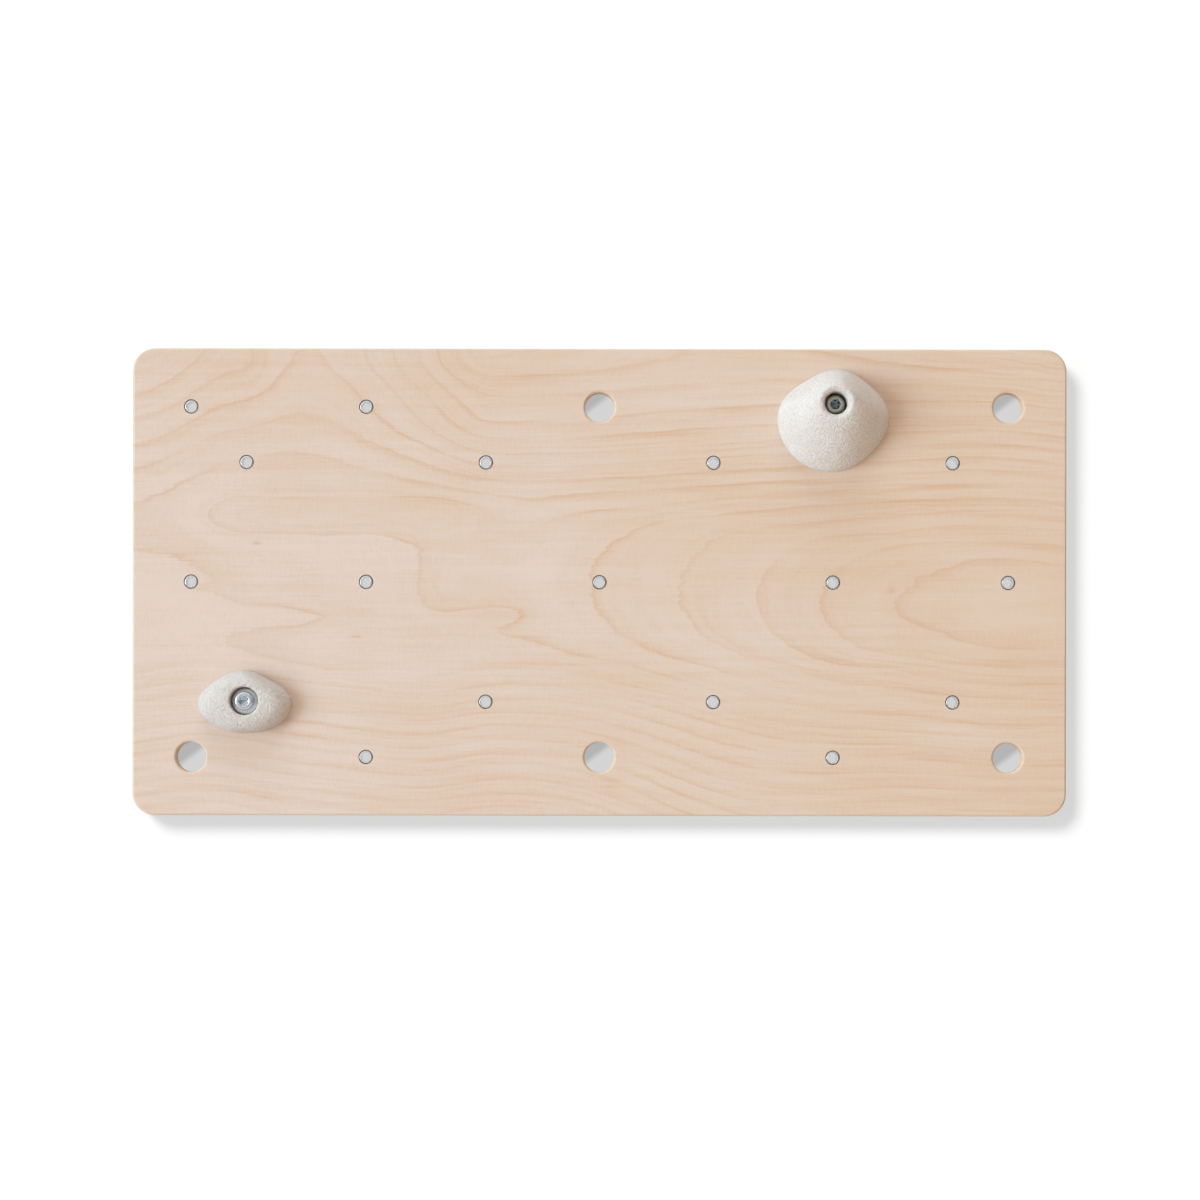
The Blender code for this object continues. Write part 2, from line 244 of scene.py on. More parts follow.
class ScrewSettings(bpy.types.PropertyGroup):
    knurls: IntProperty(name="Knurls", description="Ridges round a screw's head", default=48, min=12)
    knurl_depth: length("Knurl depth", "Depth of the head's ridges", 0.22)
    head_radius: length("Head radius", "Radius of a screw's head", 8)
    head_round: length("Head round", "Radius of the head's outer edge", 1.7)
    # The large screw's darker steel is painted shade of its deep recess; it is the same plated screw as the
    # small hold's
    steel: colour("Steel", "Dull steel of the large hold's screw", (0.48, 0.49, 0.42))
    # The large screw's socket tone is painted shade inside the socket
    socket_shade: colour("Dark socket", "Steel inside the large hold's screw's socket", (0.14, 0.17, 0.18))
    roughness: share("Roughness", "Roughness of the large hold's screw", 0.35)


class StageSettings(bpy.types.PropertyGroup):
    camera_distance: length("Camera distance", "From the lens to the board's front face", 3000)
    view_width: length("View width", "Width that the picture covers at the board's front", 1028)
    camera_drop: length("Camera drop", "From the board's centre down to the lens", 150)
    picture_drop: length("Picture drop", "From the board's centre down to the picture's middle", 15.2)
    wall_gap: length("Wall gap", "Space between the board's back and the wall", 6)
    floor_drop: length("Floor drop", "From the board's centre down to the floor", 900)
    lamp_level: share("Lamp level", "Light of all lamps against their usual level", 1.0)
    lamp_colour: colour("Lamp colour", "Cool daylight from the lamps", (0.65, 0.86, 1.0))
    room_light: colour("Room light", "Warm light that comes from all round", (0.635, 0.50, 0.39))
    wall_shade: share("Wall shade", "Tone of the wall where the board shades it", 0.63)
    floor_shade: share("Floor shade", "Tone of the floor where something shades it", 0.62)
    # The finger holes' two tones are painted shadow, glowing on cards behind the holes that no lamp lights
    hole_light: share("Hole light", "Tone of the wall in a finger hole's lighter half", 0.66)
    hole_shade: share("Hole shade", "Tone of the wall in a finger hole's darker half", 0.46)


class PanelSettings(bpy.types.PropertyGroup):
    board: PointerProperty(type=BoardSettings)
    nuts: PointerProperty(type=NutSettings)
    holds: PointerProperty(type=HoldSettings)
    screws: PointerProperty(type=ScrewSettings)
    stage: PointerProperty(type=StageSettings)


class Wire:
    """A number or a vector inside a node tree, so that a finish can be written as formulas."""

    def __init__(self, tree, socket):
        self.tree = tree
        self.socket = socket

    def math(self, operation, *others):
        return add_node(self.tree, "Math", (self, *others), operation=operation)

    def vector(self, operation, *others):
        return add_node(self.tree, "VectorMath", (self, *others), operation=operation)

    def scaled(self, factor):
        return self.vector("MULTIPLY", (factor, factor, factor))

    def parts(self):
        first = add_node(self.tree, "SeparateXYZ", (self,))
        return [Wire(self.tree, output) for output in first.socket.node.outputs]

    def ease(self, start, end):
        """0 up to start and 1 from end on, or the other way round, with a smooth change between them."""
        return add_node(self.tree, "MapRange", (self, start, end), interpolation_type="SMOOTHSTEP")

    def ridge(self, centre, width):
        """1 at the centre, with a bell's fall to both sides."""
        return bell((self - centre) * (1 / width))

    def __add__(self, other):
        return self.math("ADD", other)

    def __sub__(self, other):
        return self.math("SUBTRACT", other)

    def __mul__(self, other):
        return self.math("MULTIPLY", other)

    def __truediv__(self, other):
        return self.math("DIVIDE", other)

    def __rsub__(self, other):
        return self.math("MULTIPLY_ADD", -1.0, other)

    __radd__ = __add__


def feed(tree, socket, value):
    """Sets a socket to a constant, or links a wire to it."""
    if isinstance(value, Wire):
        tree.links.new(value.socket, socket)
    else:
        socket.default_value = value


def add_node(tree, kind, inputs=(), output=0, **options):
    """Adds a shader node with its options and its inputs, by place or by key, and gives an output."""
    node = tree.nodes.new("ShaderNode" + kind)
    for name, value in options.items():
        setattr(node, name, value)
    for key, value in inputs.items() if isinstance(inputs, dict) else enumerate(inputs):
        feed(tree, node.inputs[key], value)
    return Wire(tree, node.outputs[output])


def bell(offset):
    return (offset * offset * -1.0).math("EXPONENT")


def pack(tree, x, y, z):
    return add_node(tree, "CombineXYZ", (x, y, z))


def object_place(tree):
    return add_node(tree, "TexCoord", output="Object")


def cloud(place, detail=2.0, roughness=0.5):
    """Smooth noise about zero, with features about one unit of the place apart."""
    values = {"Vector": place, "Scale": 1.0, "Detail": detail, "Roughness": roughness}
    return add_node(place.tree, "TexNoise", values) - 0.5


def cells(place):
    """Distance to the nearest of scattered points, about one unit of the place apart."""
    return add_node(place.tree, "TexVoronoi", {"Vector": place, "Scale": 1.0})


def blend_colours(amount, first, second):
    """The first colour where the amount is 0, and the second where it is 1."""
    first, second = (value if isinstance(value, Wire) else (*value, 1.0) for value in (first, second))
    values = {0: amount, 6: first, 7: second}
    return add_node(amount.tree, "Mix", values, 2, data_type="RGBA", clamp_factor=True)


def new_finish(name):
    made = bpy.data.materials.new(name)
    made.use_nodes = True
    return made, made.node_tree, made.node_tree.nodes["Principled BSDF"]


def set_bump(tree, shader, height, distance, strength):
    values = {"Distance": distance, "Strength": strength, "Height": height}
    feed(tree, shader.inputs["Normal"], add_node(tree, "Bump", values))


def ring_count_group():
    """Counts growth rings at a place in millimetres, with X to the right and Z up.

    The count rises by one in every few millimetres above and below an open middle band. In that band it
    falls slowly to the right, and dips, which bends the rings into arches that open to the right.
    """
    tree = bpy.data.node_groups.new("ring_count", "ShaderNodeTree")
    tree.interface.new_socket("Place", in_out="INPUT", socket_type="NodeSocketVector")
    tree.interface.new_socket("Rings", in_out="OUTPUT", socket_type="NodeSocketFloat")
    place = Wire(tree, tree.nodes.new("NodeGroupInput").outputs["Place"])
    x, _, z = place.parts()
    along = 7.0 - ((x + 75) * (1 / 74)).math("SMOOTH_MAX", 0.0, 1.6)
    along = along + ((x - 330) * (1 / 74)).math("SMOOTH_MAX", 0.0, 0.6) - x.ease(-90, -160) * 0.4
    top = 66.0 - x * 0.095 + x.ridge(-250, 60) * 18 - x.ease(-310, -410) * 36
    bottom = x.ridge(-340, 60) * 12 - x.ridge(-150, 80) * 10 - x.ridge(180, 100) * 6 - 70
    above = ((z - top) / (x.ease(-90, -230) * 9 + RING_STEP)).math("SMOOTH_MAX", 0.0, 2.2)
    below = ((bottom - z) / (x.ridge(120, 100) * 3 + RING_STEP)).math("SMOOTH_MAX", 0.0, 2.2)
    offset = (z - (top + bottom) * 0.5) / ((top - bottom) * 0.5)
    bowl = (1.0 - offset * offset).math("MAXIMUM", 0.0).math("POWER", 0.85)
    dip = (x.ridge(235, 70) * 0.5 + 1.07) * bowl * x.ease(-205, -95)
    neck = z.ridge(57, 20) * x.ease(-372, -300) * x.ease(-60, -150) * 1.2
    rings = along + above + below - dip - neck
    rings = rings + cloud(place.vector("MULTIPLY", (0.014, 0.014, 0.03)), detail=3.0) * 0.3
    rings = rings + cloud(place.vector("MULTIPLY", (0.02, 0.02, 0.22)), detail=3.0) * 0.16
    for swell in SWELLS:
        rings = rings + bell_at(x, z, swell) * swell.amount
    output = tree.nodes.new("NodeGroupOutput")
    feed(tree, output.inputs["Rings"], rings)
    return tree


def bell_at(x, z, spot):
    return x.ridge(spot.x, spot.width) * z.ridge(spot.z, spot.height)


def ring_lines(tree, place_mm):
    """At a place: the count of rings, the share of a ring since the last line, how dark the line is, and
    how dark the thin lines are that lie between crowded ones.
    """
    group = ring_count_group()
    probe = 0.4

    def count(offset):
        place = place_mm.vector("ADD", offset)
        return add_node(tree, "Group", {"Place": place}, "Rings", node_tree=group)

    rings = count((0.0, 0.0, 0.0))
    across = (count((probe, 0.0, 0.0)) - rings) * (1 / probe)
    up = (count((0.0, 0.0, probe)) - rings) * (1 / probe)
    slope = (across * across + up * up).math("SQRT") + 0.004
    phase = rings.math("FRACT")
    soft = ((1.0 - phase) / slope * -0.4).math("EXPONENT")
    crisp = bell(phase / slope * 1.1)
    thin_phase = (rings * THIN_LINES + cloud(place_mm.scaled(0.02)) * 2.0).math("FRACT")
    thin = ((1.0 - thin_phase) / slope * (-0.8 / THIN_LINES)).math("EXPONENT") * slope.ease(0.02, 0.08)
    return rings, phase, soft.math("MAXIMUM", crisp), thin


def birch_finish(settings):
    """Birch plywood: ring figure on both faces, and the plies' side grain and end grain on every cut."""
    made, tree, shader = new_finish("sanded_birch")
    place = object_place(tree)
    x, y, z = place.parts()
    ply = THICKNESS / settings.ply_count
    layer = (y - FRONT_Y) * (1 / ply)
    crosswise = layer.math("FLOOR").math("MODULO", 2.0).math("ABSOLUTE")
    to_glue = layer.math("PINGPONG", 0.5) * (2 * ply / MM)
    glue = to_glue.ease(0.16, 0.03)

    behind = (y * (1 / THICKNESS)).ease(-0.55, -0.45)
    place_mm = place.scaled(1 / MM)
    turned = place_mm.vector("MULTIPLY", (-0.86, 1.0, -1.0)).vector("ADD", (55.0, 0.0, 22.0))
    figure_place = add_node(tree, "Mix", {0: behind, 4: place_mm, 5: turned}, 1, data_type="VECTOR")
    rings, phase, line, thin_line = ring_lines(tree, figure_place)
    figure_x, _, figure_z = figure_place.parts()
    blemish = sum(bell_at(figure_x, figure_z, spot) * spot.amount for spot in BLEMISHES)

    along = x + (z - x) * crosswise
    across = z + (x - z) * crosswise
    fibres = cloud(pack(tree, along * 22, y * 900, across * 900), detail=3.0, roughness=0.6)
    streaks = cloud(pack(tree, along * 7, y * 300, across * 190), detail=2.0)
    patches = cloud(pack(tree, x * 6, y * 60, z * 11), detail=2.0)
    flow = cloud(pack(tree, rings * 5.0, x * 9, z * 9), detail=2.0, roughness=0.6)
    bands = cloud(pack(tree, rings * 2.2, x * 5, z * 5), detail=1.0)
    strength = cloud(pack(tree, rings * 1.7, x * 12, z * 12), detail=1.0)
    pores = cells(pack(tree, along * 420, y * 2600, across * 2600)).ease(0.22, 0.06)
    weave = cloud(pack(tree, x * 900, y * 40, z * 150), detail=1.0)

    top_left = z.ease(0.05, 0.2) * x.ease(0.1, -0.35)
    # x * 1.1 warms and darkens the wood towards the right: partly the birch's own colour, partly painted
    # shade of light falling off from the left
    warmth = x * 1.1 + patches * 1.4 + streaks * 0.5 + top_left * 0.35 + 0.42
    wood = blend_colours(warmth, settings.pale_wood, settings.warm_wood)
    faint = z.ease(-0.02, -0.10) * x.ease(0.15, -0.1) * 0.45 + top_left * 0.3
    lines = line * (strength * 1.05 + 0.17) + thin_line * (bands * 0.8 + 0.08)
    shade = lines * (1.0 - faint) + phase * phase * 0.07 + flow * 0.34 + bands * 0.16
    shade = shade + fibres * 0.42 + streaks * 0.16 + weave * 0.32 + pores * 0.16 + top_left * 0.05 + 0.03
    shade = shade + blemish * (streaks * 3.0 + 1.0)
    wood = blend_colours(shade, wood, settings.ring_wood)

    normal = add_node(tree, "NewGeometry", output="Normal").parts()
    cut = normal[1].math("ABSOLUTE").ease(0.9, 0.55)
    fibre_end = normal[0] + (normal[2] - normal[0]) * crosswise
    end_grain = fibre_end * fibre_end * cut
    edge_noise = cloud(pack(tree, x * 700, y * 2500, z * 700), detail=2.0)
    wood = blend_colours(cut * 0.65, wood, settings.side_wood)
    wood = blend_colours(end_grain * (edge_noise * 0.6 + 0.75), wood, settings.end_wood)
    wood = blend_colours(glue * cut * 0.8, wood, settings.glue)
    feed(tree, shader.inputs["Base Color"], wood)
    feed(tree, shader.inputs["Roughness"], fibres * 0.2 + settings.roughness)
    shader.inputs["Specular IOR Level"].default_value = 0.25
    relief = fibres * 0.6 - pores * 0.8 - glue * 0.6 + end_grain * edge_noise
    set_bump(tree, shader, relief, 0.06 * MM, 1.0)
    return made


def resin_finish(name, settings, tone):
    """Sandy cast resin: fine grains and pin holes over the modelled grain, with painted shade in the pits and
    pin holes.
    """
    made, tree, shader = new_finish(name)
    place_mm = object_place(tree).scaled(1 / MM)
    sand = cloud(place_mm.scaled(0.95), detail=3.0, roughness=0.65)
    lumps = cloud(place_mm.scaled(0.55), detail=2.0)
    blotches = cloud(place_mm.scaled(0.06), detail=2.0)
    pin_holes = cells(place_mm.scaled(0.55)).ease(0.16, 0.05)
    # depth is higher where the bump is low, in the pits between grains and in pin holes, which paints shade
    # there; the blotches add random darker resin
    depth = pin_holes * 0.6 - sand * 1.6 - lumps * 1.5 - blotches * 0.4 + 0.18
    pale, dark = ([part * tone for part in resin] for resin in (settings.pale_resin, settings.pit_shade_and_blotch_resin))
    feed(tree, shader.inputs["Base Color"], blend_colours(depth, pale, dark))
    feed(tree, shader.inputs["Roughness"], sand * 0.15 + settings.roughness)
    shader.inputs["Specular IOR Level"].default_value = 0.2
    set_bump(tree, shader, sand * 2.4 - pin_holes + lumps * 2.2, 0.85 * MM, 1.0)
    return made


def plated_finish(name, tone, roughness, core, tarnish=0.1, lower_highlight=0.0):
    """Plated steel with turning marks, small specks and dull patches.

    The core is a radius in millimetres, and the tone of the bore or socket inside it: in a T-nut's bore that
    tone is a painted highlight, and in a screw's socket it is painted shade. The lower_highlight share says
    how much brighter the lower side is painted: a painted highlight.
    """
    made, tree, shader = new_finish(name)
    place_mm = object_place(tree).scaled(1 / MM)
    x, y, z = place_mm.parts()
    radius = (x * x + z * z).math("SQRT")
    turning = cloud(pack(tree, radius * 5.0, y * 5.0, 0.0), detail=2.0)
    mottle = cloud(place_mm.scaled(0.6), detail=3.0)
    specks = cells(place_mm.scaled(1.3)).ease(0.25, 0.08)
    core_radius, core_tone = core
    inside = radius.ease(core_radius + 0.1, core_radius - 0.1)
    # The lower side is painted brighter by the lower_highlight share: a painted highlight
    lower_side = ((x * 0.2 - z) / radius).ease(0.2, 0.75)
    dullness_and_highlight = mottle * 0.9 + turning * 0.4 + specks * 0.25 - lower_side * lower_highlight + tarnish
    dull = [part * 0.55 for part in tone]
    tarnished_and_highlit = blend_colours(dullness_and_highlight, tone, dull)
    feed(tree, shader.inputs["Base Color"], blend_colours(inside, tarnished_and_highlit, core_tone))
    shader.inputs["Metallic"].default_value = 1.0
    feed(tree, shader.inputs["Roughness"], mottle * 0.25 + turning * 0.1 - inside * 0.15 + roughness)
    set_bump(tree, shader, turning * 0.5 + mottle * 0.5 - specks * 0.3, 0.05 * MM, 0.8)
    return made


def settings_now():
    return bpy.context.scene.climbing_panel


def add_piece(name, bm, finish, origin=Vector(), sharp_degrees=40):
    """Turns a bmesh, drawn about its origin, into a smooth-shaded object there."""
    bmesh.ops.recalc_face_normals(bm, faces=bm.faces)
    mesh = mesh_from(name, bm)
    mesh.shade_smooth()
    mesh.set_sharp_from_angle(angle=math.radians(sharp_degrees))
    if finish:
        mesh.materials.append(finish)
    return add_object(name, mesh, origin)


def mesh_from(name, bm):
    mesh = bpy.data.meshes.new(name)
    bm.to_mesh(mesh)
    bm.free()
    return mesh


def add_object(name, data, origin=Vector()):
    made = bpy.data.objects.new(name, data)
    made.location = origin
    bpy.context.scene.collection.objects.link(made)
    return made


def settle(piece, body, node):
    """Hands a piece over to the frame: the body that it moves with, and the node that it stands for."""
    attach(piece, body)
    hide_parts(node)


def axis_of(node):
    """The place on the board's back plane that a round node's axis goes through."""
    low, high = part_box(node)
    return Vector(((low.x + high.x) / 2, 0.0, (low.z + high.z) / 2))


def around_y(radius, degrees, y=0.0):
    """A point at a radius and an angle about the Y axis, with 0 degrees to the right and 90 up."""
    angle = math.radians(degrees)
    return Vector((radius * math.cos(angle), y, radius * math.sin(angle)))


def even_degrees(sides):
    return [TURN * side / sides for side in range(sides)]


def arc(centre, radius, start, end, steps):
    """Profile points (radius, y) on an arc. 0 degrees points away from the axis, and 90 to +Y."""
    turns = [math.radians(start + (end - start) * step / steps) for step in range(steps + 1)]
    return [(centre[0] + radius * math.cos(turn), centre[1] + radius * math.sin(turn)) for turn in turns]


def circles(profile, degrees):
    """One circle of points about the Y axis for each radius and y of a profile."""
    return [[around_y(radius, angle, y) for angle in degrees] for radius, y in profile]


def add_rings(bm, rings):
    return [[bm.verts.new(point) for point in points] for points in rings]


def add_side(bm, near, far, place):
    """One quad between two rings, from a place on them to the next."""
    after = (place + 1) % len(near)
    return bm.faces.new((near[place], near[after], far[after], far[place]))


def chain(bm, rings):
    """Joins each ring to the next with quads."""
    for near, far in pairwise(rings):
        for place in range(len(near)):
            add_side(bm, near, far, place)


def loft(bm, rings):
    """Joins each ring to the next, and closes both ends with flat caps."""
    chain(bm, rings)
    bm.faces.new(rings[0])
    bm.faces.new(rings[-1])


def thread_height(degrees, y):
    """0 at a right-handed thread's root and 1 at its crest, with a flat on each."""
    phase = (y / THREAD_PITCH + degrees / TURN) % 1.0
    slope = abs(2 * phase - 1)
    return min(max((slope - 0.15) / 0.65, 0.0), 1.0)


def ramp(value, start, end):
    share_done = min(max((value - start) / (end - start), 0.0), 1.0)
    return share_done * share_done * (3 - 2 * share_done)


def quarter_turn(quarter):
    return Matrix.Rotation(-2 * math.pi * quarter / QUARTERS, 3, "Y")


def round_edges(bm, edges, radius, steps):
    bmesh.ops.bevel(
        bm, geom=edges, offset=radius, offset_type="OFFSET", segments=steps, profile=0.5, affect="EDGES"
    )


def depth_of(edge):
    """How far an edge runs from front to back."""
    return abs(edge.verts[0].co.y - edge.verts[1].co.y)


def board_blank(settings):
    """The board before drilling: a slab with round corners, and both faces' edges rounded over."""
    bm = bmesh.new()
    size = BOARD_HIGH - BOARD_LOW
    shape = Matrix.Diagonal((size.x, size.y, size.z, 1.0))
    bmesh.ops.create_cube(bm, size=1.0, matrix=Matrix.Translation((BOARD_LOW + BOARD_HIGH) / 2) @ shape)
    corners = [edge for edge in bm.edges if depth_of(edge) > THICKNESS / 2]
    round_edges(bm, corners, settings.corner_radius, 20)
    rims = [edge for edge in bm.edges if depth_of(edge) < THICKNESS / 2]
    round_edges(bm, rims, settings.edge_round, 6)
    return bm


def finger_hole_profile(settings):
    """A through hole whose mouths flare out in an arc, from in front of the board to behind it."""
    bend = settings.hole_round
    flare = arc((settings.hole_radius + bend, bend), bend, 260, 180, 8)
    (widest, shallowest), (second, deeper) = flare[:2]
    slope = (widest - second) / (deeper - shallowest)
    mouth = [(widest + slope * (shallowest + PAST), -PAST), *flare]
    return [(r, FRONT_Y + deep) for r, deep in mouth] + [(r, BACK_Y - deep) for r, deep in reversed(mouth)]


def prong_corners(inner, outer, y, margin=0.0):
    """The four corners of a prong's section at one depth."""
    start, end = PRONG_DEGREES[0] - margin, PRONG_DEGREES[1] + margin
    places = ((inner, start), (outer, start), (outer, end), (inner, end))
    return [around_y(radius, degrees, y) for radius, degrees in places]


def board_cutter(settings, nut_settings):
    """Everything that is drilled or pressed out of the board, as separate closed bodies in one mesh."""
    bm = bmesh.new()
    finger_hole = circles(finger_hole_profile(settings), even_degrees(96))
    for place in FINGER_HOLES:
        drill(bm, place, finger_hole)
    radius = nut_settings.barrel_radius + GAP
    barrel_hole = circles(((radius, FRONT_Y - PAST), (radius, PAST)), even_degrees(48))
    inner, outer = PRONG_TIP_RADII
    slot = (
        prong_corners(NOTCH_RADIUS - GAP, FLANGE_RADIUS + GAP, PAST, SLOT_MARGIN_DEGREES),
        prong_corners(inner - GAP, outer + GAP, -PRONG_LENGTH, SLOT_MARGIN_DEGREES),
    )
    for node in NUT_NODES:
        drill(bm, axis_of(node), barrel_hole)
        for quarter in range(QUARTERS):
            turn = quarter_turn(quarter)
            drill(bm, axis_of(node), [[turn @ corner for corner in corners] for corners in slot])
    return bm


def drill(bm, place, rings):
    """Adds a closed body at a place to the cutter."""
    away = Vector((place.x, 0.0, place.z))
    loft(bm, add_rings(bm, [[point + away for point in points] for points in rings]))


def apply_modifiers(piece):
    evaluated = piece.evaluated_get(bpy.context.evaluated_depsgraph_get())
    mesh = bpy.data.meshes.new_from_object(evaluated)
    piece.modifiers.clear()
    piece.data = mesh


def make_board(settings):
    board = settings.board
    piece = add_piece("plywood_board", board_blank(board), birch_finish(board))
    cutter = add_piece("board_cutter", board_cutter(board, settings.nuts), None)
    holes = piece.modifiers.new("holes", "BOOLEAN")
    holes.solver = "EXACT"
    holes.object = cutter
    triangles = piece.modifiers.new("triangles", "TRIANGULATE")
    triangles.quad_method = "BEAUTY"
    apply_modifiers(piece)
    bpy.data.objects.remove(cutter)
    piece.data.set_sharp_from_angle(angle=math.radians(40))
    shading = piece.modifiers.new("flat_faces", "WEIGHTED_NORMAL")
    shading.keep_sharp = True
    apply_modifiers(piece)
    settle(piece, "wall_board", "board")


def nut_section(settings):
    """A T-nut's rings from its flange's back, through the throat and the bore, and back over the barrel."""
    degrees = FLANGE_DEGREES
    back, end = NUT_HIGH.y, NUT_LOW.y
    bore, barrel = settings.bore_radius, settings.barrel_radius
    throat, edge = settings.throat_round, settings.front_round
    lead_in = 0.45 * MM
    root = 0.3 * MM
    rings = circles([(NOTCH_RADIUS, back)], degrees)
    rings += circles(arc((bore + throat, back - throat), throat, 90, 180, 5), degrees)
    first, last = back - throat - 0.3 * MM, end + lead_in + 0.3 * MM
    rows = round((first - last) / THREAD_PITCH * 5)
    for row in range(rows + 1):
        y = first + (last - first) * row / rows
        fade = ramp(y, last, last + THREAD_PITCH) * ramp(-y, -first, THREAD_PITCH - first)
        deep = [root * fade * (1 - thread_height(angle, y)) for angle in degrees]
        rings.append([around_y(bore + extra, angle, y) for extra, angle in zip(deep, degrees)])
    rings += circles([(bore, end + lead_in), (bore + lead_in, end)], degrees)
    rings += circles(arc((barrel - edge, end + edge), edge, -90, 0, 6), degrees)
    rings += circles(arc((barrel + 0.6 * MM, GAP - 0.6 * MM), 0.6 * MM, 180, 90, 3), degrees)
    rings += circles([(NOTCH_RADIUS, GAP)], degrees)
    return rings


def nut_mesh(settings):
    """One T-nut: the section's rings, the flange's rounded rim outside them, and four pressed-out prongs."""
    bm = bmesh.new()
    sleeve = add_rings(bm, nut_section(settings))
    chain(bm, sleeve)
    edge = 0.35 * MM
    profile = arc((FLANGE_RADIUS - edge, GAP + edge), edge, -90, 0, 3)
    profile += arc((FLANGE_RADIUS - edge, NUT_HIGH.y - edge), edge, 0, 90, 3)
    rim = (sleeve[-1], *add_rings(bm, circles(profile, FLANGE_DEGREES)), sleeve[0])
    steps = len(QUARTER_DEGREES)
    notch_start = QUARTER_DEGREES.index(PRONG_DEGREES[1])
    for quarter in range(QUARTERS):
        for place in range(quarter * steps, quarter * steps + notch_start):
            faces = [add_side(bm, near, far, place) for near, far in pairwise(rim)]
        draw_prong(bm, faces[0], quarter)
        for place in range(quarter * steps + notch_start, (quarter + 1) * steps):
            add_side(bm, rim[0], rim[-1], place)
        for end in (quarter * steps + notch_start, (quarter + 1) * steps % len(FLANGE_DEGREES)):
            bm.faces.new([ring[end] for ring in rim])
    unused = [vert for vert in bm.verts if not vert.link_faces]
    bmesh.ops.delete(bm, geom=unused, context="VERTS")
    return bm


def draw_prong(bm, face, quarter):
    """Draws a prong forward out of one face of the flange, and narrows it to its tip."""
    tip_face = bmesh.ops.extrude_discrete_faces(bm, faces=[face])["faces"][0]
    tip = [quarter_turn(quarter) @ corner for corner in prong_corners(*PRONG_TIP_RADII, GAP - PRONG_LENGTH)]
    by_radius = sorted(tip_face.verts, key=lambda vert: vert.co.xz.length)
    for verts, places in ((by_radius[:2], tip[::3]), (by_radius[2:], tip[1:3])):
        for vert in verts:
            vert.co = min(places, key=lambda place: (place.xz - vert.co.xz).length)


def make_nuts(settings):
    nuts = settings.nuts
    # The T-nut's bore, inside 4.9 mm, takes the bright bore tone: a painted highlight
    finish = plated_finish("nut_plate", nuts.zinc, nuts.roughness, (4.9, nuts.bore), nuts.tarnish)
    piece = None
    for node in NUT_NODES:
        name = node.replace("t_nut", "pronged_nut")
        if piece:
            piece = add_object(name, piece.data, axis_of(node))
        else:
            piece = add_piece(name, nut_mesh(nuts), finish, axis_of(node))
        settle(piece, "wall_board", node)


def outline_radius(hold, degrees):
    radius = hold.mean_radius
    for wave in hold.waves:
        radius += wave.depth * math.cos(math.radians(wave.count * degrees - wave.phase_degrees))
    return radius


def crown_point(hold, radius, degrees, fall=0.0):
    """A point on the crown, which tilts so that its upper side stands further out."""
    point = around_y(radius, degrees, FOOT_Y - hold.height + fall)
    point.y -= hold.crown_tilt * point.z
    return point


def flank_point(hold, degrees, out, rise):
    """A point on the flank, part of the way from the crown's ring out to the foot's outline."""
    crown = crown_point(hold, hold.crown_radius, degrees)
    foot = around_y(outline_radius(hold, degrees), degrees, FOOT_Y)
    foot += Vector((hold.centre[0], 0.0, hold.centre[1]))
    point = crown.lerp(foot, out)
    point.y = FOOT_Y + (crown.y - FOOT_Y) * rise
    return point


def flank_shares(hold, turn):
    """How far out and how far up the flank a turn is, each as a share of the whole."""
    return max(math.cos(turn), 0.0) ** hold.flank_power, math.sin(turn) ** hold.flank_power


def flank_turns(hold, step):
    """Turns from the foot up to the crown, spaced so that the rows of points are evenly far apart."""
    samples = 400
    turns = [math.pi / 2 * sample / samples for sample in range(samples + 1)]
    shares = [flank_shares(hold, turn) for turn in turns]
    reach = hold.mean_radius - hold.crown_radius
    points = [(reach * out, hold.height * rise) for out, rise in shares]
    travelled = [0.0, *accumulate(math.dist(last, point) for last, point in pairwise(points))]
    rows = round(travelled[-1] / step)
    goals = (travelled[-1] * row / rows for row in range(rows + 1))
    return [turns[bisect_left(travelled, goal, hi=samples)] for goal in goals]


def hold_rings(hold, settings):
    """The hold's rings of points, from its foot up the flank, over the rim, down the recess and the bore."""
    sides = round(2 * math.pi * hold.mean_radius / settings.mesh_step / 4) * 4
    degrees = even_degrees(sides)
    rings = []
    for turn in flank_turns(hold, settings.mesh_step):
        out, rise = flank_shares(hold, turn)
        rings.append([flank_point(hold, angle, out, rise) for angle in degrees])
    rim = hold.crown_radius - hold.recess_radius
    for radius, fall in arc((hold.crown_radius, rim), rim, 270, 180, 9)[1:]:
        rings.append([crown_point(hold, radius, angle, fall) for angle in degrees])
    skin_rows = len(rings)
    seat_y = FRONT_Y - hold.seat_height
    wall_top = FOOT_Y - hold.height + rim
    corner = 0.8 * MM
    wall = [(hold.recess_radius, wall_top + (seat_y - wall_top) * part / 6) for part in range(2, 6)]
    floor = arc((hold.recess_radius - corner, seat_y - corner), corner, 0, 90, 3)
    screw_bore = SHANK_RADIUS + 0.8 * MM
    rings += circles([*wall, *floor, (screw_bore, seat_y), (screw_bore, FOOT_Y)], degrees)
    return rings, skin_rows


def skin_lift(hold, settings, point):
    """How far the sandy skin stands out at a point: grain, and the marks that the casting left."""
    grain = noise.noise(point / settings.grain_size) * 0.6
    grain += noise.noise(point / settings.grain_size * 2.1 + Vector((7, 3, 5))) * 0.4
    lift = (grain - 0.35) * settings.grain_height
    lift += noise.noise(point / (9 * MM)) * 0.25 * MM
    for mark in hold.marks:
        away = (point.xz - Vector((mark.x, mark.z))).length
        lift += mark.rise * math.exp(-((away / mark.radius) ** 2))
    return lift * ramp(FOOT_Y - point.y, 0.2 * MM, 1.6 * MM)


